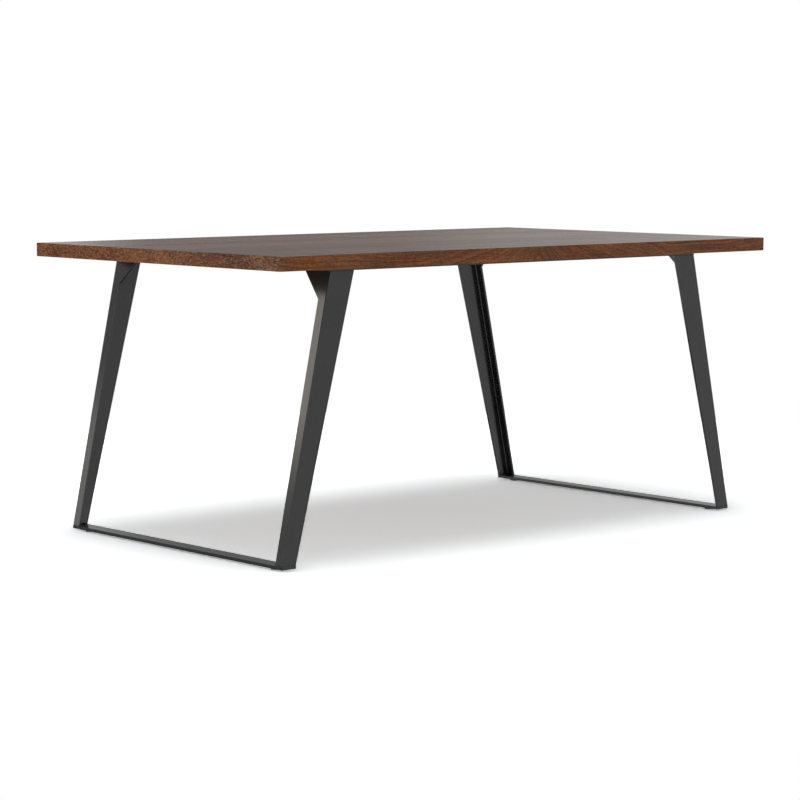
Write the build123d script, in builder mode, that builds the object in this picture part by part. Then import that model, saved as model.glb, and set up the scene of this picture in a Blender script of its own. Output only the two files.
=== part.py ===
"""Butcher block table: a thick glued-up wooden top on a welded black steel base.

Millimetres, +Z up, X along the grain of the top, origin on the floor under the middle of the top.
Front is -Y and left is -X. The base is made of flat bar and plate: a frame of four bars under the
top, four splayed legs of L section, and a rail along the floor at each end that joins two feet.
"""
import os

from build123d import *

os.makedirs("parts", exist_ok=True)

# The wooden top: staves on edge, glued face to face, with the grain along X.
top_length = 1676
top_width = 1016
top_thickness = 35
table_height = 750
stave_count = 20
arris = 1.2

# Steel stock.
bar_width = 42
bar_thickness = 8
plate_thickness = 6.5

# How far the base stands back from the edges of the top: at its sides, and at its ends both at
# the frame under the top and at the floor.
side_setback = 68
frame_end_setback = 204.5
floor_end_setback = 56

# The legs: a face plate across the table and a side plate along it, welded into an L.
leg_head_width = 75
leg_side_width = 28
gusset_size = 67
corner_radius = 2
weld_leg = 3
weld_end_gap = 2

# The glides under the floor rails, each held by one countersunk screw.
glide_radius = 13
glide_height = 5
glide_chamfer = 1
glide_end_distance = 50
glide_screw_radius = 2.5
glide_screw_head_radius = 5
glide_screw_head_depth = 2.7
glide_screw_recess = 0.8
glide_screw_tip_gap = 0.5
glide_hole_clearance = 0.25
thread_clearance = 0.1

# The fixings between the base and the top: countersunk socket screws through cross-grain slots
# into threaded inserts.
long_rail_screw_inset = 220
end_rail_screw_stave = 4.5
screw_radius = 4
screw_length = 25
screw_head_radius = 8
screw_recess = 0.3
socket_flats = 5
socket_depth = 3
head_clearance = 0.1
slot_clearance = 0.5
slot_travel = 7
insert_radius = 6.3
insert_length = 18
insert_hole_clearance = 0.1
insert_hole_extra_depth = 2

# Heights and places that follow from the sizes above.
top_underside = table_height - top_thickness
frame_underside = top_underside - bar_thickness
rail_top = glide_height + bar_thickness
leg_height = frame_underside - rail_top
frame_length = top_length - 2 * frame_end_setback
floor_length = top_length - 2 * floor_end_setback
base_width = top_width - 2 * side_setback
splay = (floor_length - frame_length) / 2 / leg_height
side_plate_x_thickness = plate_thickness * (1 + splay**2) ** 0.5
stave_width = top_width / stave_count
long_rail_y = (base_width - bar_width) / 2
end_rail_x = (frame_length - bar_width) / 2
floor_rail_x = (floor_length - bar_width) / 2
glide_y = base_width / 2 - glide_end_distance
end_screw_y = end_rail_screw_stave * stave_width
long_rail_length = frame_length - 2 * bar_width
long_screw_x = long_rail_length / 2 - long_rail_screw_inset

long_rail_screws = [(x, y) for x in (-long_screw_x, long_screw_x) for y in (-long_rail_y, long_rail_y)]
end_rail_screws = [(x, y) for x in (-end_rail_x, end_rail_x) for y in (-end_screw_y, end_screw_y)]
top_screws = long_rail_screws + end_rail_screws


def save(piece, name):
    """Name the finished piece and write it."""
    piece.part.label = name
    export_step(piece.part, f"parts/{name}.step")


# ------------------------------------------------------------------ the top
# Each stave is one long stick. The two outer ones carry the eased long edges of the top, and
# every stave has its share of the eased ends. The inserts are let into the underside.
for number in range(1, stave_count + 1):
    stave_y = (number - (stave_count + 1) / 2) * stave_width
    hole_radius = insert_radius + insert_hole_clearance
    hole_depth = insert_length + insert_hole_extra_depth
    own_holes = [(x, y) for x, y in top_screws if abs(y - stave_y) < stave_width / 2 + hole_radius]

    with BuildPart() as stave:
        with BuildSketch(Plane.YZ.offset(-top_length / 2)):
            with Locations((stave_y, table_height - top_thickness / 2)):
                Rectangle(stave_width, top_thickness)
        extrude(amount=top_length)
        outer_edges = stave.edges().filter_by(Axis.Y)
        if number == 1:
            outer_edges += stave.faces().sort_by(Axis.Y)[0].edges()
        if number == stave_count:
            outer_edges += stave.faces().sort_by(Axis.Y)[-1].edges()
        chamfer(outer_edges, arris)
        if own_holes:
            with BuildSketch(Plane.XY.offset(top_underside)):
                with Locations(*own_holes):
                    Circle(hole_radius)
            extrude(amount=hole_depth, mode=Mode.SUBTRACT)
    save(stave, f"top_stave_{number:02d}")


# ------------------------------------------------------------------ the frame under the top
# Two end rails run the full width of the base and two long rails butt between them. Their slots
# lie across the grain, so that the top can swell and shrink over the screws, and are countersunk
# from below, so that the heads lie flush.
slot_width = 2 * (screw_radius + slot_clearance)
countersink = screw_head_radius + screw_recess + head_clearance - slot_width / 2

for end_name, side in (("left", -1), ("right", 1)):
    with BuildPart() as end_rail:
        with BuildSketch(Plane.XY.offset(frame_underside)):
            with Locations((side * end_rail_x, 0)):
                Rectangle(bar_width, base_width)
            with Locations(*[(x, y) for x, y in end_rail_screws if x * side > 0]):
                SlotOverall(slot_width + slot_travel, slot_width, rotation=90, mode=Mode.SUBTRACT)
        extrude(amount=bar_thickness)
        chamfer(end_rail.faces().sort_by(Axis.Z)[0].inner_wires().edges(), countersink)
    save(end_rail, f"{end_name}_end_frame_rail")

for edge_name, side in (("front", -1), ("rear", 1)):
    with BuildPart() as long_rail:
        with BuildSketch(Plane.XY.offset(frame_underside)):
            with Locations((0, side * long_rail_y)):
                Rectangle(long_rail_length, bar_width)
            with Locations(*[(x, y) for x, y in long_rail_screws if y * side > 0]):
                SlotOverall(slot_width + slot_travel, slot_width, rotation=90, mode=Mode.SUBTRACT)
        extrude(amount=bar_thickness)
        chamfer(long_rail.faces().sort_by(Axis.Z)[0].inner_wires().edges(), countersink)
    save(long_rail, f"{edge_name}_long_frame_rail")


# ------------------------------------------------------------------ the floor rails
# A flat bar along the floor under each pair of legs, tapped for its two glide screws.
for end_name, side in (("left", -1), ("right", 1)):
    with BuildPart() as floor_rail:
        with BuildSketch(Plane.XY.offset(glide_height)):
            with Locations((side * floor_rail_x, 0)):
                Rectangle(bar_width, base_width)
            with Locations((side * floor_rail_x, -glide_y), (side * floor_rail_x, glide_y)):
                Circle(glide_screw_radius + thread_clearance, mode=Mode.SUBTRACT)
        extrude(amount=bar_thickness)
    save(floor_rail, f"{end_name}_floor_rail")


# ------------------------------------------------------------------ the legs
# All four legs are one hand or the other of the same L. The outline of the L's outer edge goes
# from the corner of the frame down and out to the outer side of the floor rail. The face plate
# tapers to the floor rail's width. The side plate is a narrow strip that widens at its head into
# a gusset under the end rail.
frame_x = frame_length / 2
floor_x = floor_length / 2
base_y = base_width / 2
inner_y = base_y - plate_thickness
side_plate_edge_y = base_y - leg_side_width
gusset_end_y = side_plate_edge_y - gusset_size

for edge_name, along in (("front", -1), ("rear", 1)):
    for end_name, side in (("left", -1), ("right", 1)):
        leg_name = f"{edge_name}_{end_name}_leg"

        with BuildPart() as face_plate:
            with BuildSketch(Plane.XZ.offset(-along * inner_y)):
                with BuildLine():
                    Polyline(
                        (side * frame_x, frame_underside),
                        (side * floor_x, rail_top),
                        (side * (floor_x - bar_width), rail_top),
                        (side * (frame_x - leg_head_width), frame_underside),
                        close=True,
                    )
                make_face()
            extrude(amount=-along * plate_thickness)
            outer_face = face_plate.faces().sort_by(lambda face: side * face.normal_at().X)[-1]
            outer_corner = outer_face.edges().sort_by(lambda edge: along * edge.center().Y)[-1]
            fillet(outer_corner, corner_radius)
        save(face_plate, f"{leg_name}_face_plate")

        with BuildPart() as side_plate:
            with BuildSketch(Plane.XZ):
                with BuildLine():
                    Polyline(
                        (side * frame_x, frame_underside),
                        (side * floor_x, rail_top),
                        (side * (floor_x - side_plate_x_thickness), rail_top),
                        (side * (frame_x - side_plate_x_thickness), frame_underside),
                        close=True,
                    )
                make_face()
            extrude(amount=base_y, both=True)
            with BuildSketch(Plane.YZ):
                with BuildLine():
                    Polyline(
                        (along * inner_y, frame_underside),
                        (along * gusset_end_y, frame_underside),
                        (along * side_plate_edge_y, frame_underside - gusset_size),
                        (along * side_plate_edge_y, rail_top),
                        (along * inner_y, rail_top),
                        close=True,
                    )
                make_face()
            extrude(amount=floor_x, both=True, mode=Mode.INTERSECT)
        save(side_plate, f"{leg_name}_side_plate")


# ------------------------------------------------------------------ the welds
# Small fillet welds on the inside, where they don't show from outside: down the corner of each
# L, and where the two plates meet the frame above and the floor rail below.
corners = [(side, along) for along in (-1, 1) for side in (-1, 1)]


def side_plate_inner_x(height):
    """Distance from the middle of the table to a side plate's inner face, at a height."""
    return frame_x + splay * (frame_underside - height) - side_plate_x_thickness


with BuildPart() as corner_welds:
    for side, along in corners:
        for height in (frame_underside - weld_leg, rail_top + weld_leg):
            corner_x = side * side_plate_inner_x(height)
            corner_y = along * inner_y
            with BuildSketch(Plane.XY.offset(height)):
                with BuildLine():
                    Polyline(
                        (corner_x, corner_y),
                        (corner_x - side * weld_leg, corner_y),
                        (corner_x, corner_y - along * weld_leg),
                        close=True,
                    )
                make_face()
        loft()
save(corner_welds, "leg_corner_welds")

for weld_name, height, away, face_end_x, side_end_y in (
    ("leg_head_welds", frame_underside, -1, frame_x - leg_head_width, gusset_end_y + weld_leg),
    ("leg_foot_welds", rail_top, 1, floor_x - bar_width, side_plate_edge_y),
):
    toe_height = height + away * weld_leg
    inner_x = side_plate_inner_x(height)
    face_weld_start = inner_x - weld_leg - weld_end_gap
    side_weld_start = inner_y - weld_leg - weld_end_gap
    with BuildPart() as welds:
        for side, along in corners:
            with BuildSketch(Plane.YZ.offset(side * face_weld_start)):
                with BuildLine():
                    Polyline(
                        (along * inner_y, height),
                        (along * (inner_y - weld_leg), height),
                        (along * inner_y, toe_height),
                        close=True,
                    )
                make_face()
            extrude(amount=-side * (face_weld_start - face_end_x - weld_end_gap))
            with BuildSketch(Plane.XZ.offset(-along * side_weld_start)):
                with BuildLine():
                    Polyline(
                        (side * inner_x, height),
                        (side * (inner_x - weld_leg), height),
                        (side * side_plate_inner_x(toe_height), toe_height),
                        close=True,
                    )
                make_face()
            extrude(amount=along * (side_weld_start - side_end_y - weld_end_gap))
    save(welds, weld_name)


# ------------------------------------------------------------------ the glides
# A round hard nylon pad under each end of a floor rail. A countersunk screw goes up through it
# into the tapped hole in the rail, with its head clear of the floor.
for end_name, side in (("left", -1), ("right", 1)):
    with BuildPart() as glides:
        with BuildSketch():
            with Locations((side * floor_rail_x, -glide_y), (side * floor_rail_x, glide_y)):
                Circle(glide_radius)
        extrude(amount=glide_height)
        chamfer(glides.faces().group_by(Axis.Z)[0].edges(), glide_chamfer)
        for along in (-1, 1):
            with Locations(Location((side * floor_rail_x, along * glide_y, 0), (180, 0, 0))):
                CounterSinkHole(
                    glide_screw_radius + glide_hole_clearance,
                    glide_screw_head_radius + glide_screw_recess + glide_hole_clearance,
                )
    save(glides, f"{end_name}_glides")

with BuildPart() as glide_screws:
    for side, along in corners:
        screw_plane = Plane(
            origin=(side * floor_rail_x, along * glide_y, 0), x_dir=(1, 0, 0), z_dir=(0, -1, 0)
        )
        with BuildSketch(screw_plane):
            with BuildLine():
                Polyline(
                    (0, glide_screw_recess),
                    (glide_screw_head_radius, glide_screw_recess),
                    (glide_screw_radius, glide_screw_recess + glide_screw_head_depth),
                    (glide_screw_radius, rail_top - glide_screw_tip_gap),
                    (0, rail_top - glide_screw_tip_gap),
                    close=True,
                )
            make_face()
        revolve(axis=Axis(screw_plane.origin, (0, 0, 1)))
save(glide_screws, "glide_screws")


# ------------------------------------------------------------------ the fixings of the top
# A countersunk screw with a hexagon socket in each slot, and a threaded insert in the wood above.
with BuildPart() as screws:
    with Locations(*[(x, y, frame_underside + screw_recess) for x, y in top_screws]):
        Cone(
            screw_head_radius,
            screw_radius,
            screw_head_radius - screw_radius,
            align=(Align.CENTER, Align.CENTER, Align.MIN),
        )
        Cylinder(screw_radius, screw_length, align=(Align.CENTER, Align.CENTER, Align.MIN))
    with BuildSketch(Plane.XY.offset(frame_underside + screw_recess)):
        with Locations(*top_screws):
            RegularPolygon(socket_flats / 2, 6, major_radius=False)
    extrude(amount=socket_depth, mode=Mode.SUBTRACT)
save(screws, "top_fixing_screws")

with BuildPart() as inserts:
    with BuildSketch(Plane.XY.offset(top_underside)):
        with Locations(*top_screws):
            Circle(insert_radius)
            Circle(screw_radius + thread_clearance, mode=Mode.SUBTRACT)
    extrude(amount=insert_length)
save(inserts, "top_threaded_inserts")
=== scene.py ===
"""Butcher block table: a thick glued-up walnut top on a welded black steel base."""
import math

import bmesh
import bpy
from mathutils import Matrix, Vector


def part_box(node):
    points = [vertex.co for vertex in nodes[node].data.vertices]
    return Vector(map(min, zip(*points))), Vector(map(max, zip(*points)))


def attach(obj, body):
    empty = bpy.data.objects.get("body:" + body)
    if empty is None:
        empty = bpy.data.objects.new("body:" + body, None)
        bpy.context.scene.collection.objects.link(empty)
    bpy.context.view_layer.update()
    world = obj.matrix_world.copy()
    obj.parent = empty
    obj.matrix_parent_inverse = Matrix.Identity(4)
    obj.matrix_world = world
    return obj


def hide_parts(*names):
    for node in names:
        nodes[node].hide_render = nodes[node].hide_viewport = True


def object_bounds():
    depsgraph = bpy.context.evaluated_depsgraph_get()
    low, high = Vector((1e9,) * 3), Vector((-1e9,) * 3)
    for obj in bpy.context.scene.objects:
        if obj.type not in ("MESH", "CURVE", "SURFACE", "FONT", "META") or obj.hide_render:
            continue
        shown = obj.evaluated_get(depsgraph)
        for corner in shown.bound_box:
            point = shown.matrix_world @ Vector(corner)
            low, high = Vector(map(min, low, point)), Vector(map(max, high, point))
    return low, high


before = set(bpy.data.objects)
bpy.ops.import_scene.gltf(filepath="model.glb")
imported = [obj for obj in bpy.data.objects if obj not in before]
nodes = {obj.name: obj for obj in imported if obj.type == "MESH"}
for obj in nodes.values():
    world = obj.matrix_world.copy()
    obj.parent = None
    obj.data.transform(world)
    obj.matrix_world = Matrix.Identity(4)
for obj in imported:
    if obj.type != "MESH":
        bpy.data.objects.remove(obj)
cad_low, cad_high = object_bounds()


# ------------------------------------------------------------------ the top
# Twenty staves of walnut, planed, stood on edge and glued face to face, then sanded flush and
# rubbed with a thin satin oil. The figure is in the wood itself: growth rings round a pith that
# lies outside each stave, so it runs over the edges and shows on the ends as end grain.
stave_names = sorted(name for name in nodes if name.startswith("top_stave_"))
stave_low, stave_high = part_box(stave_names[0])
stave_width = stave_high.y - stave_low.y
stave_middle_z = (stave_high.z + stave_low.z) / 2
front_stave = -len(stave_names) / 2


def start_finish(name):
    """A new material, its node tree and its shader."""
    finish = bpy.data.materials.new(name)
    finish.use_nodes = True
    return finish, finish.node_tree, finish.node_tree.nodes["Principled BSDF"]


walnut, tree, walnut_shader = start_finish("oiled walnut")


def add(kind, inputs=None, **settings):
    """A node in the tree in hand. Its inputs are numbers, colours or the outputs of other nodes."""
    made = tree.nodes.new(kind)
    for name, value in settings.items():
        setattr(made, name, value)
    for key, value in (inputs or {}).items():
        if isinstance(value, bpy.types.NodeSocket):
            tree.links.new(value, made.inputs[key])
        else:
            made.inputs[key].default_value = value
    return made


def sum_up(operation, first, second=0.0, third=0.0):
    """One sum on a number, such as FLOOR, DIVIDE or MAXIMUM."""
    return add("ShaderNodeMath", {0: first, 1: second, 2: third}, operation=operation).outputs[0]


def plus(first, second):
    return sum_up("ADD", first, second)


def minus(first, second):
    return sum_up("SUBTRACT", first, second)


def times(first, second):
    return sum_up("MULTIPLY", first, second)


def scaled(value, factor, start):
    """A value times a factor, counted from a start."""
    return sum_up("MULTIPLY_ADD", value, factor, start)


def size_of(value):
    return sum_up("ABSOLUTE", value)


def split(point):
    """The three parts of a point, direction or colour."""
    return add("ShaderNodeSeparateXYZ", {0: point}).outputs


def vector(x, y, z):
    return add("ShaderNodeCombineXYZ", {0: x, 1: y, 2: z}).outputs[0]


def noise(where, scale=1.0, detail=2.0, roughness=0.5):
    """Cloudy noise about 0.5, at a place in space or, for a number, along a line."""
    if where.type == "VECTOR":
        key, size = "Vector", "3D"
    else:
        key, size = "W", "1D"
    values = {key: where, "Scale": scale, "Detail": detail, "Roughness": roughness}
    return add("ShaderNodeTexNoise", values, noise_dimensions=size).outputs["Fac"]


def chance(number):
    """The chance colour and chance value that belong to a number."""
    return add("ShaderNodeTexWhiteNoise", {"W": number}, noise_dimensions="1D").outputs


def ramp(factor, *stops):
    """A colour ramp: each stop is a position and a colour or grey level."""
    made = add("ShaderNodeValToRGB", {"Fac": factor})
    elements = made.color_ramp.elements
    while len(elements) < len(stops):
        elements.new(0.5)
    for element, (position, colour) in zip(elements, stops):
        element.position = position
        element.color = (colour, colour, colour, 1) if isinstance(colour, float) else (*colour, 1)
    return made.outputs["Color"]


def mix(share, under, over, blend="MIX"):
    """One colour laid over another: at share 0 none of it shows, and at 1 all of it."""
    layers = {0: share, 6: under, 7: over}
    return add("ShaderNodeMix", layers, data_type="RGBA", blend_type=blend).outputs[2]


def join_surface(shader, colour, roughness, relief, strength, depth):
    """Joins a finish's colour, roughness and fine relief to its shader."""
    bump = add("ShaderNodeBump", {"Height": relief, "Strength": strength, "Distance": depth})
    tree.links.new(colour, shader.inputs["Base Color"])
    tree.links.new(roughness, shader.inputs["Roughness"])
    tree.links.new(bump.outputs["Normal"], shader.inputs["Normal"])


place = add("ShaderNodeTexCoord").outputs["Object"]
along, across, up = split(place)

# The staves are counted across from the middle of the top, and each has chance numbers of its
# own and comes from its own length of the tree. The outer faces count with the first and the last.
just_inside = 0.9995
tree_lengths = 40.0
stave = sum_up("FLOOR", times(across, just_inside / stave_width))
random_one, random_two, random_three = split(chance(stave)["Color"])
stave_shade = chance(plus(stave, 0.5))["Value"]
is_front = sum_up("LESS_THAN", stave, front_stave + 0.5)
stave_y = minus(across, times(plus(stave, 0.5), stave_width))
stave_z = minus(up, stave_middle_z)
stave_x = plus(along, times(random_three, tree_lengths))


def in_stave(along_scale, across_scale, up_scale):
    """A place in the wood for a noise to read. A smaller scale draws longer marks that way."""
    return vector(times(stave_x, along_scale), times(across, across_scale), times(up, up_scale))


# The pith lies 55 to 105 mm below the stave and up to 55 mm to its side. It wanders slowly along
# the tree, which draws long arches, widest on the front stave.
pith_y = scaled(random_one, 0.110, -0.055)
pith_z = scaled(random_two, 0.050, -0.105)
most_wander, most_drift = 0.085, 0.060
bend = scaled(is_front, 0.60, 0.40)
rise = minus(noise(times(stave_x, 1.7), detail=1.5), 0.5)
shift = minus(noise(plus(times(stave_x, 1.3), 7.7), detail=1.5), 0.5)
wander = times(rise, times(bend, most_wander))
drift = times(shift, times(bend, most_drift))
ring_y = minus(minus(stave_y, pith_y), drift)
ring_z = minus(minus(stave_z, pith_z), wander)
pith_distance = sum_up("SQRT", plus(times(ring_y, ring_y), times(ring_z, ring_z)))


def knot_swing(knot_x, knot_radius, push, reach):
    """How far a knot pushes the rings aside: most beside it, and less and less further off."""
    off_squared = sum_up("POWER", minus(along, knot_x), 2.0)
    from_knot = sum_up("SQRT", plus(off_squared, knot_radius**2))
    return sum_up("DIVIDE", push, plus(from_knot, reach))


# The front stave grew past two knots, so its rings swing steeply round them, and they bend away
# towards its left end.
first_swing = knot_swing(knot_x=-0.012, knot_radius=0.01, push=-0.0219, reach=0.090)
second_swing = knot_swing(knot_x=0.46, knot_radius=0.04, push=0.0032, reach=0.050)
left_bend_x, left_softness, left_push = -0.20, 0.20, -0.035
left_reach = sum_up("SMOOTH_MAX", minus(left_bend_x, along), 0.0, left_softness)
left_swing = times(left_reach, left_push)
swing = times(is_front, plus(first_swing, plus(second_swing, left_swing)))

# Small waves of the fibres, and the rings that follow them.
wave_height = 0.020
waving = noise(in_stave(3.2, 16.0, 16.0), detail=2.5, roughness=0.55)
waves = times(minus(waving, 0.5), wave_height)
ring = plus(plus(pith_distance, swing), waves)
usual_radius = 0.05
round_pith = times(sum_up("ARCTAN2", ring_z, ring_y), usual_radius)

broad_rings = noise(times(ring, 60.0), detail=1.0)
year_rings = noise(times(ring, 190.0), detail=1.5)
fine_rings = noise(times(ring, 560.0), detail=2.0, roughness=0.6)
streak_place = vector(times(stave_x, 3.0), times(ring, 190.0), times(round_pith, 170.0))
streaks = noise(streak_place, detail=2.5, roughness=0.6)
fibres = noise(in_stave(16.0, 430.0, 430.0), detail=3.0, roughness=0.65)
specks = noise(in_stave(170.0, 430.0, 430.0), detail=2.0, roughness=0.7)
clouds = noise(in_stave(3.5, 14.0, 26.0), detail=2.0)

# On the ends the fibres are cut across, so the rings fade and the colour breaks up into flecks.
facing = split(add("ShaderNodeTexCoord").outputs["Normal"])
end_grain = size_of(facing["X"])
flecks = noise(in_stave(9.0, 95.0, 300.0), detail=2.0, roughness=0.8)
patches = noise(vector(times(along, 2.0), times(across, 9.0), times(up, 14.0)), detail=1.0)

# On the upper and lower faces the staves behind the front one are quartered, with calm straight
# grain, and each has a shade of its own.
calm = times(minus(1.0, is_front), minus(1.0, end_grain))
ring_fade = scaled(calm, -0.35, scaled(end_grain, -0.55, 1.0))

# Each layer of the figure, and how far it lightens and darkens the wood.
tone = 0.5
for layer, strength in (
    (broad_rings, times(ring_fade, 0.20)),
    (year_rings, times(ring_fade, 0.33)),
    (fine_rings, 0.36),
    (streaks, 0.34),
    (fibres, 0.32),
    (specks, scaled(end_grain, 0.30, 0.58)),
    (clouds, 0.24),
    (stave_shade, times(calm, 0.20)),
    (flecks, scaled(end_grain, 1.20, 0.12)),
    (patches, times(end_grain, 0.30)),
):
    tone = scaled(minus(layer, 0.5), strength, tone)

# The staves of the darker boards lie a third of the way back, and the palest in the middle.
share_back = plus(across, 0.5)
board_shade = ramp(
    share_back,
    (0.00, 0.50),
    (0.10, 0.50),
    (0.16, 0.46),
    (0.25, 0.43),
    (0.34, 0.53),
    (0.47, 0.59),
    (0.55, 0.56),
    (0.62, 0.49),
    (1.00, 0.50),
)
tone = scaled(minus(board_shade, 0.5), end_grain, tone)

heartwood = ramp(
    tone,
    (0.28, (0.042, 0.0125, 0.0035)),
    (0.42, (0.079, 0.025, 0.006)),
    (0.50, (0.112, 0.038, 0.0095)),
    (0.60, (0.160, 0.058, 0.0155)),
    (0.74, (0.220, 0.088, 0.027)),
)

# Some of the wood is redder and some more olive, in soft patches. The ends are paler, and greyer
# towards the front, where the grey is painted sheen that stands in for the oil's reflection on that
# part of the ends.
warmth = noise(in_stave(7.0, 13.0, 24.0), detail=2.0, roughness=0.6)
warmth = scaled(minus(random_three, 0.5), times(calm, 0.28), warmth)
warm_tint = ramp(warmth, (0.34, (0.89, 1.00, 1.06)), (0.66, (1.14, 0.97, 0.84)))
end_tint_and_sheen = ramp(
    share_back,
    (0.10, (1.15, 1.34, 2.10)),
    (0.55, (1.22, 1.22, 1.55)),
    (0.95, (1.27, 1.22, 1.15)),
)
tinted = mix(1.0, heartwood, warm_tint, "MULTIPLY")
tinted = mix(end_grain, tinted, end_tint_and_sheen, "MULTIPLY")

# Open pores: thin dark dashes along the grain, which are dots on the ends of the staves.
pore_reach = 0.22
pore_strength = 0.45
dark_pore = (0.025, 0.010, 0.006, 1)
pore_values = {"Vector": in_stave(55.0, 620.0, 620.0), "Scale": 1.0}
from_pore = add("ShaderNodeTexVoronoi", pore_values, feature="F1").outputs["Distance"]
pores = sum_up("LESS_THAN", from_pore, pore_reach)
porous = mix(times(pores, pore_strength), tinted, dark_pore)

# A hair of dark glue between the staves, and none on the two outer faces.
glue_reach = 0.00022
glue_strength = 0.55
dark_glue = (0.030, 0.014, 0.009, 1)
outer_skin = 0.001
from_joint = minus(stave_width / 2, size_of(stave_y))
inside = sum_up("LESS_THAN", size_of(across), cad_high.y - outer_skin)
glue = times(inside, sum_up("LESS_THAN", from_joint, glue_reach))
glued = mix(times(glue, glue_strength), porous, dark_glue)

# The oil shines a little more on the paler wood, and much less on the ends and the underside,
# which are only wiped over.
usual_oil, glossiest_oil, wiped_oil = 0.15, 0.09, 0.45
underside = sum_up("MAXIMUM", times(facing["Z"], -1.0), 0.0)
oil_roughness = sum_up("MAXIMUM", scaled(minus(0.5, tone), 0.14, usual_oil), glossiest_oil)
oil_roughness = scaled(sum_up("MAXIMUM", underside, end_grain), wiped_oil, oil_roughness)
grain_relief = minus(times(fibres, 0.6), times(pores, 0.8))
walnut_shader.inputs["Specular IOR Level"].default_value = 0.2
join_surface(walnut_shader, glued, oil_roughness, grain_relief, strength=0.25, depth=0.00012)


def finish_with(name, material):
    """Gives a CAD node its finish."""
    nodes[name].data.materials.clear()
    nodes[name].data.materials.append(material)


for name in stave_names:
    finish_with(name, walnut)


# ------------------------------------------------------------------ the steel base
# Hot-rolled flat bar and laser-cut plate, welded on the inside, ground flush on the outside and
# powder coated black: a fine orange peel, a little uneven in gloss, drawn thin over the edges.
powder_coat, tree, powder_shader = start_finish("black powder coat")
place = add("ShaderNodeTexCoord").outputs["Object"]
peel = noise(place, scale=620.0, detail=1.0)
haze = noise(place, scale=9.0, detail=3.0)
powder_black = ramp(haze, (0.35, 0.0040), (0.65, 0.0052))
powder_shader.inputs["Specular IOR Level"].default_value = 0.7
powder_roughness = scaled(haze, 0.06, 0.17)
join_surface(powder_shader, powder_black, powder_roughness, peel, strength=0.10, depth=0.00010)

# The outer corner of each leg is ground flush after welding, so no line shows there between its
# two plates: all their sharp edges are eased but those along this seam.
edge_radius = 0.0008
sharp_angle = math.radians(40)
flat_angle = math.radians(0.5)
hair = 0.0001
seam_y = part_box("rear_right_leg_side_plate")[1].y
face_low, face_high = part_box("rear_right_leg_face_plate")
seam_marks = {}
for plate, seam_from_x in (("side_plate", 0.0), ("face_plate", (face_low.x + face_high.x) / 2)):
    tree = bpy.data.node_groups.new(f"edges to ease on a {plate}", "GeometryNodeTree")
    seam_marks[plate] = tree
    for way in ("INPUT", "OUTPUT"):
        tree.interface.new_socket("Geometry", in_out=way, socket_type="NodeSocketGeometry")
    edge_place = split(add("GeometryNodeInputPosition").outputs[0])
    on_seam_plane = sum_up("COMPARE", size_of(edge_place["Y"]), seam_y, hair)
    at_outer_corner = sum_up("GREATER_THAN", size_of(edge_place["X"]), seam_from_x)
    edge_angle = add("GeometryNodeInputMeshEdgeAngle").outputs["Unsigned Angle"]
    is_sharp = sum_up("GREATER_THAN", edge_angle, sharp_angle)
    marks = {
        "Geometry": add("NodeGroupInput").outputs[0],
        "Name": "bevel_weight_edge",
        "Value": times(is_sharp, minus(1.0, times(on_seam_plane, at_outer_corner))),
    }
    marked = add("GeometryNodeStoreNamedAttribute", marks, data_type="FLOAT", domain="EDGE")
    tree.links.new(marked.outputs[0], add("NodeGroupOutput").inputs[0])


def join_corners(name):
    """Joins the corners of a CAD node's faces, so that its edges can be eased."""
    joined = nodes[name].modifiers.new("joined corners", "WELD")
    joined.merge_threshold = 0.00002


def ease_edges(name, radius, segments, from_angle):
    """Rounds the edges of a CAD node that turn by more than an angle."""
    eased = nodes[name].modifiers.new("eased edges", "BEVEL")
    eased.width = radius
    eased.segments = segments
    eased.limit_method = "ANGLE"
    eased.angle_limit = from_angle
    return eased


steel_names = [name for name in nodes if name.endswith(("_rail", "_plate"))]
for name in steel_names:
    finish_with(name, powder_coat)
    join_corners(name)
    whole = nodes[name].modifiers.new("whole faces", "DECIMATE")
    whole.decimate_type = "DISSOLVE"
    whole.angle_limit = flat_angle
    for plate, seam_mark in seam_marks.items():
        if name.endswith(plate):
            nodes[name].modifiers.new("seam kept", "NODES").node_group = seam_mark
    eased = ease_edges(name, edge_radius, segments=3, from_angle=sharp_angle)
    eased.harden_normals = True
    eased.loop_slide = False
    if name.endswith("_plate"):
        eased.limit_method = "WEIGHT"


# ------------------------------------------------------------------ the welds
# Small fillet beads along the inner corner of each leg and where its two plates meet the bars,
# laid by hand with a slow weave, so each bead is a row of overlapping ripples.
weld_leg = 0.003
ripple_pitch = 0.0035
ripple_rings = 4
arc_points = 6

# Shares of the bead's full size: between two ripples, at its two ends and across its hollow face.
ripple_valley = 0.80
ripple_swell = 0.6
bead_tip = 0.45
throat = 0.74


def weld_bead(sheet, start, end, first_wall, second_wall):
    """A bead from start to end. The walls are the directions in which its two legs run."""
    run = end - start
    steps = max(1, round(run.length / ripple_pitch)) * ripple_rings
    rings = []
    for step in range(steps + 1):
        phase = (step % ripple_rings) / ripple_rings
        swell = ripple_valley + (1 - ripple_valley) * (1 - phase) ** ripple_swell
        if step in (0, steps):
            swell = bead_tip
        ring = []
        for point in range(arc_points):
            angle = math.pi / 2 * point / (arc_points - 1)
            toe = abs(math.cos(2 * angle))
            radius = weld_leg * swell * (throat + (1 - throat) * toe)
            out = first_wall * math.cos(angle) + second_wall * math.sin(angle)
            ring.append(sheet.verts.new(start + run * (step / steps) + out * radius))
        rings.append(ring)
    for one, two in zip(rings, rings[1:]):
        for a, b, c, d in zip(one, one[1:], two[1:], two):
            sheet.faces.new((a, b, c, d))
    roots = [sheet.verts.new(start), sheet.verts.new(end)]
    for root, ring in zip(roots, (rings[0], rings[-1])):
        for a, b in zip(ring, ring[1:]):
            sheet.faces.new((root, a, b))
    for side_of_ring in (0, -1):
        sheet.faces.new([roots[0], *(ring[side_of_ring] for ring in rings), roots[1]])


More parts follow.
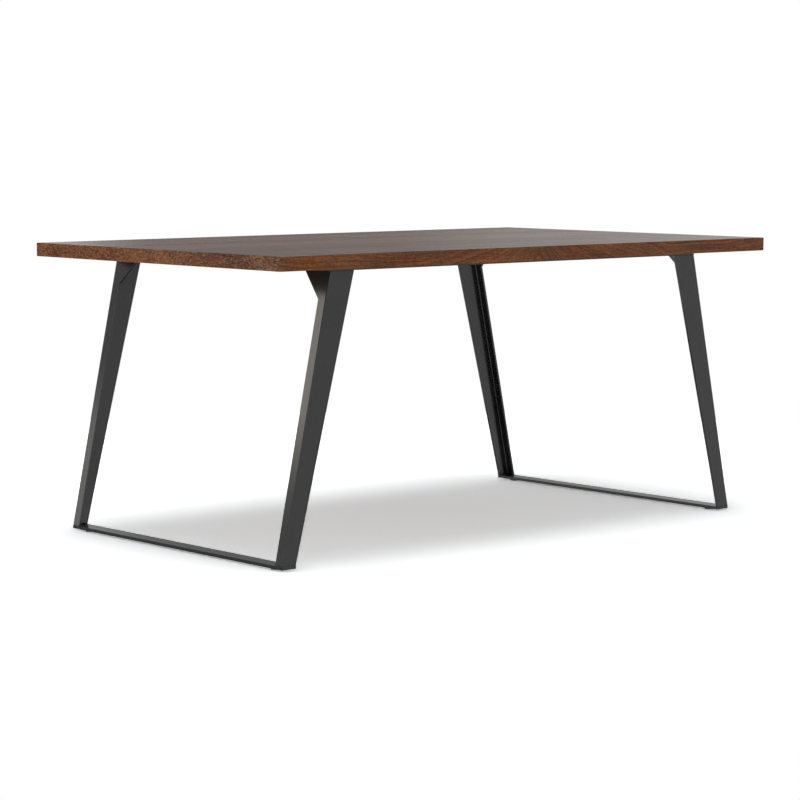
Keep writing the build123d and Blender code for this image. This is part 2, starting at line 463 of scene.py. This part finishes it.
def fit_piece(name, sheet, material, replaced, crease=None):
    """Makes a sheet of faces one piece, in the place of the plain CAD node replaced."""
    bmesh.ops.recalc_face_normals(sheet, faces=sheet.faces)
    mesh = bpy.data.meshes.new(name)
    sheet.to_mesh(mesh)
    sheet.free()
    mesh.shade_smooth()
    if crease is not None:
        mesh.set_sharp_from_angle(angle=crease)
    mesh.materials.append(material)
    piece = bpy.data.objects.new(name, mesh)
    bpy.context.scene.collection.objects.link(piece)
    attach(piece, "root")
    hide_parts(replaced)


side_plate_width = 0.028
end_gap = 0.002
gap = weld_leg + end_gap
corner_sheet, head_sheet, foot_sheet = bmesh.new(), bmesh.new(), bmesh.new()
for end_name, side in (("left", -1), ("right", 1)):
    rail_low, rail_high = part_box(f"{end_name}_floor_rail")
    frame_low, frame_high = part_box(f"{end_name}_end_frame_rail")
    for edge_name, edge in (("front", -1), ("rear", 1)):
        face_low, face_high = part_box(f"{edge_name}_{end_name}_leg_face_plate")
        side_low, side_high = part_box(f"{edge_name}_{end_name}_leg_side_plate")
        thickness = face_high.y - face_low.y
        outer_y = max(abs(face_low.y), abs(face_high.y))
        gusset_y = min(abs(side_low.y), abs(side_high.y))
        inner_y = edge * (outer_y - thickness)
        head_z, foot_z = side_high.z, side_low.z

        # The legs splay along the table, so a level cut through a side plate is wider than the
        # plate is thick.
        outer_foot_x = max(abs(face_low.x), abs(face_high.x))
        outer_head_x = max(abs(frame_low.x), abs(frame_high.x))
        splay = (outer_foot_x - outer_head_x) / (head_z - foot_z)
        plate_x = thickness * math.sqrt(1 + splay**2)
        head_x = side * (outer_head_x - plate_x)
        foot_x = side * (outer_foot_x - plate_x)
        head_corner = Vector((head_x, inner_y, head_z))
        foot_corner = Vector((foot_x, inner_y, foot_z))
        run = (foot_corner - head_corner).normalized()

        # The walls of the beads, all on the inside of the leg, and where the beads end, a little
        # short of the edges of the plates.
        inward_x = Vector((-side, 0, 0))
        inward_y = Vector((0, -edge, 0))
        down_side_plate = Vector((side * splay, 0, -1)).normalized()
        face_head_x = side * (min(abs(face_low.x), abs(face_high.x)) + end_gap)
        face_foot_x = side * (outer_foot_x - (rail_high.x - rail_low.x) + end_gap)
        face_head_end = Vector((face_head_x, inner_y, head_z))
        face_foot_end = Vector((face_foot_x, inner_y, foot_z))
        side_head_end = Vector((head_x, edge * (gusset_y + gap), head_z))
        side_foot_end = Vector((foot_x, edge * (outer_y - side_plate_width + end_gap), foot_z))

        corner_start = head_corner + run * weld_leg
        corner_end = foot_corner - run * weld_leg
        weld_bead(corner_sheet, corner_start, corner_end, inward_x, inward_y)

        face_start = head_corner + inward_x * gap
        side_start = head_corner + inward_y * gap
        weld_bead(head_sheet, face_start, face_head_end, inward_y, Vector((0, 0, -1)))
        weld_bead(head_sheet, side_start, side_head_end, inward_x, down_side_plate)

        face_start = foot_corner + inward_x * gap
        side_start = foot_corner + inward_y * gap
        weld_bead(foot_sheet, face_start, face_foot_end, inward_y, Vector((0, 0, 1)))
        weld_bead(foot_sheet, side_start, side_foot_end, inward_x, -down_side_plate)

for name, sheet in (
    ("leg_corner_welds", corner_sheet),
    ("leg_head_welds", head_sheet),
    ("leg_foot_welds", foot_sheet),
):
    fit_piece(f"{name}_beads", sheet, powder_coat, name)


# ------------------------------------------------------------------ the glides
# Four turned pads of hard black nylon under the ends of the floor rails. They are matt, with fine
# turning marks round the rim, and each is held by one countersunk screw.
nylon, tree, nylon_shader = start_finish("black nylon")
place = add("ShaderNodeTexCoord").outputs["Object"]
turning_marks = noise(times(split(place)["Z"], 2600.0), detail=1.0)
mottle = noise(place, scale=160.0, detail=3.0)
nylon_black = ramp(mottle, (0.35, (0.016, 0.016, 0.017)), (0.65, (0.030, 0.030, 0.031)))
nylon_relief = plus(times(turning_marks, 0.7), times(mottle, 0.3))
nylon_roughness = scaled(mottle, 0.25, 0.45)
join_surface(nylon_shader, nylon_black, nylon_roughness, nylon_relief, strength=0.4, depth=0.00008)

rim_radius = 0.0004
for name in ("left_glides", "right_glides"):
    finish_with(name, nylon)
    join_corners(name)
    ease_edges(name, rim_radius, segments=2, from_angle=math.radians(30))


# ------------------------------------------------------------------ the screws of the glides
# One small countersunk screw up through each glide into its floor rail: cold-headed steel with a
# cross recess and a rolled thread, plated in bright zinc.
zinc, tree, zinc_shader = start_finish("bright zinc plate")
place = add("ShaderNodeTexCoord").outputs["Object"]
spangle = noise(place, scale=420.0, detail=3.0, roughness=0.6)
passivation = noise(place, scale=60.0, detail=1.0)
zinc_grey = ramp(passivation, (0.35, (0.56, 0.58, 0.61)), (0.65, (0.66, 0.65, 0.62)))
zinc_shader.inputs["Metallic"].default_value = 1.0
zinc_roughness = scaled(spangle, 0.30, 0.22)
join_surface(zinc_shader, zinc_grey, zinc_roughness, spangle, strength=0.3, depth=0.00005)

thread_steps = 24
rolled_root = 0.84
point_chamfer = 0.94


def upward(height):
    return Vector((0, 0, height))


def outward(angle):
    return Vector((math.cos(angle), math.sin(angle), 0))


def circle(sheet, middle, radius):
    """A level ring of points."""
    angles = [math.tau * step / thread_steps for step in range(thread_steps)]
    return [sheet.verts.new(middle + outward(angle) * radius) for angle in angles]


def join_rings(sheet, lower, upper):
    """A band of faces between two rings of as many points."""
    for here in range(len(lower)):
        there = (here + 1) % len(lower)
        sheet.faces.new((lower[here], lower[there], upper[there], upper[here]))


def thread(sheet, foot, length, root, crest, pitch, neck):
    """A screw thread that climbs from a ring at foot to a ring at its end, and gives both rings."""
    turns = int(length / pitch) - 1
    plain = (length - pitch * (turns + 0.5)) / 2
    runout = plain * 0.7
    start = foot + upward(plain)
    end = foot + upward(length)
    first_ring = circle(sheet, foot, neck)
    low_ring = circle(sheet, foot + upward(runout), root)
    high_ring = circle(sheet, end - upward(runout), crest)
    last_ring = circle(sheet, end, root * point_chamfer)
    join_rings(sheet, first_ring, low_ring)
    join_rings(sheet, high_ring, last_ring)
    roots, crests = [], []
    for step in range(turns * thread_steps + 1):
        out = outward(math.tau * step / thread_steps)
        rise = upward(pitch * step / thread_steps)
        roots.append(sheet.verts.new(start + rise + out * root))
        crests.append(sheet.verts.new(start + rise + out * crest + upward(pitch / 2)))
    last_turn = len(roots) - 1 - thread_steps
    for step in range(len(roots) - 1):
        sheet.faces.new((roots[step], roots[step + 1], crests[step + 1], crests[step]))
    for step in range(last_turn):
        above = step + thread_steps
        sheet.faces.new((crests[step], crests[step + 1], roots[above + 1], roots[above]))
    for step in range(thread_steps):
        after = (step + 1) % thread_steps
        sheet.faces.new((low_ring[step], low_ring[after], roots[step + 1], roots[step]))
        edge = last_turn + step
        sheet.faces.new((crests[edge], crests[edge + 1], high_ring[after], high_ring[step]))
    sheet.faces.new((low_ring[0], roots[thread_steps], crests[0], roots[0]))
    sheet.faces.new((crests[last_turn], roots[-1], crests[-1], high_ring[0]))
    return first_ring, last_ring


def countersunk_screw(sheet, foot, length, head, shank, pitch, recess, depth, taper):
    """An upright screw with its head down at foot. The recess is an outline, cut into the head."""
    rim_height = 0.00025
    head_height = head - shank
    mouth = [sheet.verts.new(foot + Vector((x, y, 0))) for x, y in recess]
    floor = [sheet.verts.new(foot + Vector((x * taper, y * taper, depth))) for x, y in recess]
    face_ring = circle(sheet, foot, head - rim_height)
    rim_ring = circle(sheet, foot + upward(rim_height), head)
    join_rings(sheet, mouth, floor)
    sheet.faces.new(floor)
    join_rings(sheet, face_ring, rim_ring)
    outlines = [
        sheet.edges.get((ring[here - 1], ring[here]))
        for ring in (mouth, face_ring)
        for here in range(len(ring))
    ]
    bmesh.ops.triangle_fill(sheet, edges=outlines, use_beauty=True, normal=(0, 0, -1))
    neck = foot + upward(head_height)
    root = shank * rolled_root
    neck_ring, point_ring = thread(sheet, neck, length - head_height, root, shank, pitch, shank)
    join_rings(sheet, rim_ring, neck_ring)
    sheet.faces.new(point_ring)


cross_reach, cross_half = 0.0024, 0.0006
cross = []
for quarter in range(4):
    ahead = outward(math.tau * quarter / 4)
    for x, y in ((cross_reach, -cross_half), (cross_reach, cross_half), (cross_half, cross_half)):
        cross.append((x * ahead.x - y * ahead.y, x * ahead.y + y * ahead.x))

glide_radius = 0.013
glide_screw_low, glide_screw_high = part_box("glide_screws")
glide_screw_sheet = bmesh.new()
for name in ("left_glides", "right_glides"):
    glides_low, glides_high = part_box(name)
    for glide_y in (glides_low.y + glide_radius, glides_high.y - glide_radius):
        countersunk_screw(
            glide_screw_sheet,
            foot=Vector(((glides_low.x + glides_high.x) / 2, glide_y, glide_screw_low.z)),
            length=glide_screw_high.z - glide_screw_low.z,
            head=0.005,
            shank=0.0025,
            pitch=0.0009,
            recess=cross,
            depth=0.0016,
            taper=0.62,
        )
crease = math.radians(35)
fit_piece("crosshead_glide_screws", glide_screw_sheet, zinc, "glide_screws", crease)


# ------------------------------------------------------------------ the screws of the top
# Eight M8 countersunk socket screws, zinc plated, up through the cross-grain slots of the four
# bars under the top: two in each long bar, and two in each end bar.
screw_low, screw_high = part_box("top_fixing_screws")
end_bar_low, end_bar_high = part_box("left_end_frame_rail")
long_bar_low, long_bar_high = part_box("front_long_frame_rail")
screw_inset = 0.220
staves_from_middle = 4.5
end_bar_x = abs(end_bar_low.x + end_bar_high.x) / 2
end_screw_y = staves_from_middle * stave_width
long_bar_y = abs(long_bar_low.y + long_bar_high.y) / 2
long_screw_x = long_bar_high.x - screw_inset
fixings = [
    (x_side * x, y_side * y)
    for x, y in ((long_screw_x, long_bar_y), (end_bar_x, end_screw_y))
    for x_side in (-1, 1)
    for y_side in (-1, 1)
]

socket_flats = 0.005
socket_reach = socket_flats / math.sqrt(3)
corners = [outward(math.tau * (corner + 0.5) / 6) * socket_reach for corner in range(6)]
hexagon = [(corner.x, corner.y) for corner in corners]
screw_sheet = bmesh.new()
for x, y in fixings:
    countersunk_screw(
        screw_sheet,
        foot=Vector((x, y, screw_low.z)),
        length=screw_high.z - screw_low.z,
        head=0.008,
        shank=0.004,
        pitch=0.00125,
        recess=hexagon,
        depth=0.003,
        taper=1.0,
    )
fit_piece("countersunk_socket_screws", screw_sheet, zinc, "top_fixing_screws", crease)


# ------------------------------------------------------------------ the inserts in the top
# Eight bushes turned from brass bar, screwed into blind holes in the underside of the wood by the
# coarse thread on their outside. The M8 screws turn into their bores.
brass, tree, brass_shader = start_finish("turned brass")
place = add("ShaderNodeTexCoord").outputs["Object"]
tarnish = noise(place, scale=180.0, detail=3.0, roughness=0.6)
brass_yellow = ramp(tarnish, (0.35, (0.52, 0.41, 0.22)), (0.60, (0.70, 0.58, 0.34)))
brass_shader.inputs["Metallic"].default_value = 1.0
brass_roughness = scaled(tarnish, -0.30, 0.50)
join_surface(brass_shader, brass_yellow, brass_roughness, tarnish, strength=0.3, depth=0.00005)

insert_radius, insert_root, insert_bore = 0.0063, 0.0054, 0.0041
insert_pitch = 0.0025
insert_low, insert_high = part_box("top_threaded_inserts")
insert_length = insert_high.z - insert_low.z
insert_sheet = bmesh.new()
for x, y in fixings:
    foot = Vector((x, y, insert_low.z))
    collar, far_rim = thread(
        insert_sheet, foot, insert_length, insert_root, insert_radius, insert_pitch, insert_radius
    )
    bore_mouth = circle(insert_sheet, foot, insert_bore)
    bore_end = circle(insert_sheet, foot + upward(insert_length), insert_bore)
    join_rings(insert_sheet, collar, bore_mouth)
    join_rings(insert_sheet, bore_mouth, bore_end)
    join_rings(insert_sheet, bore_end, far_rim)
fit_piece("brass_thread_inserts", insert_sheet, brass, "top_threaded_inserts", crease)


# ------------------------------------------------------------------ the studio floor
# A round sheet of white paper. It glows a little for the camera and in gloss, more and more
# towards its rim, so that it stays white all over and still keeps the table's shadow.
sheet_radius = 2.7
rim_points = 128
rim = [outward(math.tau * point / rim_points) * sheet_radius for point in range(rim_points)]
floor_mesh = bpy.data.meshes.new("studio floor")
floor_mesh.from_pydata(rim, [], [range(rim_points)])
floor = bpy.data.objects.new("studio_floor", floor_mesh)
bpy.context.scene.collection.objects.link(floor)


def ray_kinds():
    """Whether the camera sees a place, and whether gloss or glass does."""
    rays = add("ShaderNodeLightPath").outputs
    mirrored = sum_up("MAXIMUM", rays["Is Glossy Ray"], rays["Is Transmission Ray"])
    return rays["Is Camera Ray"], mirrored


# To the camera the paper is a little cooler, because the wood warms the light in its shadow.
paper, tree, paper_shader = start_finish("white paper")
tree.nodes.remove(paper_shader)
camera_ray, mirror_ray = ray_kinds()
paper_red, paper_green, paper_blue = (
    scaled(camera_ray, brighter_by, plain)
    for brighter_by, plain in ((0.637, 0.936), (0.672, 0.950), (0.689, 0.956))
)
paper_white = add("ShaderNodeBsdfDiffuse", {"Color": vector(paper_red, paper_green, paper_blue)})
on_floor = add("ShaderNodeNewGeometry").outputs["Position"]
from_middle = add("ShaderNodeVectorMath", {0: on_floor}, operation="LENGTH").outputs["Value"]
# The glow is least under the middle of the table and grows away from it, so it paints light over
# the outer part of the table's shadow and narrows it.
glow_y, least_glow, most_glow = 0.08, 0.085, 0.20
off_x, off_y = split(on_floor)["X"], minus(split(on_floor)["Y"], glow_y)
along_glow = times(off_x, scaled(off_x, 0.13, -0.04))
across_glow = times(sum_up("POWER", off_y, 2.0), 0.30)
table_glow = sum_up("MINIMUM", plus(along_glow, across_glow), most_glow)
rim_glow = times(sum_up("POWER", from_middle, 3.0), 0.013)
seen_glow = plus(plus(table_glow, rim_glow), least_glow)
glow = times(sum_up("MAXIMUM", camera_ray, mirror_ray), seen_glow)
paper_glow = add("ShaderNodeEmission", {"Color": (1, 1, 1, 1), "Strength": glow})
paper_sum = add("ShaderNodeAddShader", {0: paper_white.outputs[0], 1: paper_glow.outputs[0]})
tree.links.new(paper_sum.outputs[0], tree.nodes["Material Output"].inputs["Surface"])
floor_mesh.materials.append(paper)


# ------------------------------------------------------------------ the studio walls
# White to the camera. They give the table low soft light from all round, a little more from the
# left, and gloss mirrors them as grey screens under a dark ceiling.
world = bpy.data.worlds.new("white studio")
bpy.context.scene.world = world
world.use_nodes = True
world.cycles.sampling_method = "NONE"
tree = world.node_tree
backdrop = tree.nodes["Background"]
backdrop.inputs["Color"].default_value = (1, 1, 1, 1)


def between(value, low, high, at_low, at_high, **settings):
    """Goes from one level to another while a value goes from low to high."""
    limits = {"From Min": low, "From Max": high, "To Min": at_low, "To Max": at_high}
    return add("ShaderNodeMapRange", {"Value": value, **limits}, **settings).outputs[0]


wall_light, floor_light = 4.5, 0.75
east, north, height = split(add("ShaderNodeTexCoord").outputs["Generated"])
above = sum_up("GREATER_THAN", height, 0.0)
below = minus(1.0, above)
near_horizon = sum_up("POWER", sum_up("MAXIMUM", minus(1.0, height), 0.0), 4.0)
low_light = times(times(near_horizon, wall_light), scaled(east, -0.30, 1.0))
soft_light = plus(times(above, low_light), times(below, floor_light))

# The screens: a pale one all round, a grey one at the rear left, and a row of darker ones at the
# rear right. All are paler from a little above the horizon.
pale_grey, dark_ceiling = 0.72, 0.1
bearing = sum_up("ARCTAN2", east, north)
rear_right_screens = ramp(
    between(bearing, math.radians(30), math.radians(50), 0.0, 1.0),
    (0.00, pale_grey),
    (0.18, 0.50),
    (0.22, 0.32),
    (0.27, 0.205),
    (0.42, 0.197),
    (0.55, 0.218),
    (0.615, 0.27),
    (0.68, 0.322),
    (0.75, 0.336),
    (0.81, 0.38),
    (0.92, 0.44),
    (1.00, pale_grey),
)
rear_left_shade = times(sum_up("COMPARE", bearing, math.radians(-45), math.radians(40)), 0.27)
ceiling = between(height, 0.28, 0.38, 0.0, 1.0)
paler_above = between(height, 0.07, 0.11, 1.0, 1.4)
screens = minus(times(rear_right_screens, paler_above), rear_left_shade)
upper_gloss = plus(times(screens, minus(1.0, ceiling)), times(ceiling, dark_ceiling))
lower_gloss = minus(pale_grey, rear_left_shade)
mirrored = plus(times(above, upper_gloss), times(below, lower_gloss))
camera_ray, mirror_ray = ray_kinds()
other_ray = sum_up("MAXIMUM", minus(minus(1.0, mirror_ray), camera_ray), 0.0)
strength = plus(plus(camera_ray, times(mirror_ray, mirrored)), times(other_ray, soft_light))
tree.links.new(strength, backdrop.inputs["Strength"])


# ------------------------------------------------------------------ the lamp and the cards
# One large softbox overhead, and flat cards that only gloss mirrors. Two stand at the rear left
# and six lie on the floor, and they give the powder coat its lighter and darker faces.
lamp = bpy.data.lights.new("overhead softbox", "AREA")
lamp.shape = "RECTANGLE"
lamp.size, lamp.size_y = 3.3, 2.55
lamp.energy = 85
softbox = bpy.data.objects.new("overhead softbox", lamp)
softbox.location = (-0.16, -0.10, 3.75)
softbox.rotation_euler = (0, 0, 0.225)
softbox.visible_camera = False
bpy.context.scene.collection.objects.link(softbox)


def hang_card(name, corners):
    """A card that only gloss mirrors, with its bare material's node tree."""
    skin, skin_tree, skin_shader = start_finish(name)
    skin_tree.nodes.remove(skin_shader)
    mesh = bpy.data.meshes.new(name)
    mesh.from_pydata(corners, [], [range(4)])
    mesh.materials.append(skin)
    card = bpy.data.objects.new(name, mesh)
    card.visible_camera = card.visible_diffuse = card.visible_transmission = False
    card.visible_shadow = False
    bpy.context.scene.collection.objects.link(card)
    return card, skin_tree


def wall_corners(start, end, low, high):
    """Corners of an upright card along a wall three metres off to the rear left."""
    wall_distance = 3
    wall_out, wall_along = Vector((-0.647, 0.762, 0)), Vector((0.762, 0.647, 0))
    first, last = (wall_out * wall_distance + wall_along * reach for reach in (start, end))
    corners = ((first, low), (last, low), (last, high), (first, high))
    return [foot + upward(z) for foot, z in corners]


# The standing cards light the steel alone, so that the oiled wood doesn't glare, and dim the wall
# behind them where they are darker than it. Each goes smoothly from one level to another between
# two heights, and fades into the wall at its top.
coated = bpy.data.collections.new("coated steel")
for name in steel_names:
    coated.objects.link(nodes[name])
wall_behind = 0.62
fade_start, fade_end = 1.30, 1.50
smooth = {"interpolation_type": "SMOOTHSTEP"}
warm_white, clean_white = (1.0, 0.92, 0.83, 1), (1.0, 1.0, 0.95, 1)
warm_corners = wall_corners(start=-1.30, end=-0.42, low=0.35, high=1.52)
white_corners = wall_corners(start=-0.42, end=0.60, low=0.02, high=1.52)
for name, corners, colour, (lower_z, lower_level), (upper_z, upper_level) in (
    ("warm_card", warm_corners, warm_white, (0.53, 0.38), (0.83, 2.62)),
    ("white_card", white_corners, clean_white, (0.57, 1.42), (0.70, 0.40)),
):
    card, tree = hang_card(name, corners)
    card.light_linking.receiver_collection = coated
    card_z = split(add("ShaderNodeTexCoord").outputs["Object"])["Z"]
    level = between(card_z, lower_z, upper_z, lower_level, upper_level, **smooth)
    fading = between(card_z, fade_start, fade_end, 0.0, 1.0, **smooth)
    level = scaled(fading, minus(wall_behind, level), level)
    let_through = sum_up("MINIMUM", sum_up("DIVIDE", level, wall_behind), 1.0)
    extra_light = sum_up("MAXIMUM", minus(level, wall_behind), 0.0)
    glow = add("ShaderNodeEmission", {"Color": colour, "Strength": extra_light})
    clear = add("ShaderNodeBsdfTransparent", {"Color": let_through})
    skin = add("ShaderNodeAddShader", {0: glow.outputs[0], 1: clear.outputs[0]})
    tree.links.new(skin.outputs[0], tree.nodes["Material Output"].inputs["Surface"])

# The cards on the floor glow in plain greys that only gloss sees. The dark ones are painted shade
# for the steel to mirror, under the table and beside the rails, and the pale ones paint an even
# floor into the plates' reflections, in front of the table and over its shadow. Each row is its
# left, right, front and rear edge and its level.
card_height = 0.001
for name, left, right, front, rear, level in (
    ("middle_card", -0.25, 0.50, 0.15, 0.80, 0.05),
    ("left_card", -0.92, -0.745, -0.45, 0.70, 0.35),
    ("right_card", 0.62, 0.92, -0.45, 0.70, 0.60),
    ("front_card", -0.95, 3.20, -3.60, -0.50, 0.76),
    ("inner_card", -0.72, -0.25, -0.30, 0.36, 0.80),
    ("gusset_card", -0.46, -0.25, 0.37, 0.62, 0.02),
):
    edges = ((left, front), (right, front), (right, rear), (left, rear))
    card, tree = hang_card(name, [(x, y, card_height) for x, y in edges])
    glow = add("ShaderNodeEmission", {"Color": (1, 1, 1, 1), "Strength": level})
    tree.links.new(glow.outputs[0], tree.nodes["Material Output"].inputs["Surface"])


# ------------------------------------------------------------------ the camera
# It stands about seven metres from the middle of the table, to its front left and a little
# higher than the top, and looks slightly down on it through a long lens.
camera_data = bpy.data.cameras.new("camera")
camera_data.sensor_width = 36.0
camera_data.lens = 116.58
camera_data.clip_end = 100
camera = bpy.data.objects.new("camera", camera_data)
camera.location = (-4.53397, -5.18173, 1.03393)
camera.rotation_euler = (math.radians(90 - 5.896), 0, math.radians(-40.989))
bpy.context.scene.collection.objects.link(camera)
bpy.context.scene.camera = camera

bpy.context.scene.view_settings.view_transform = "Standard"
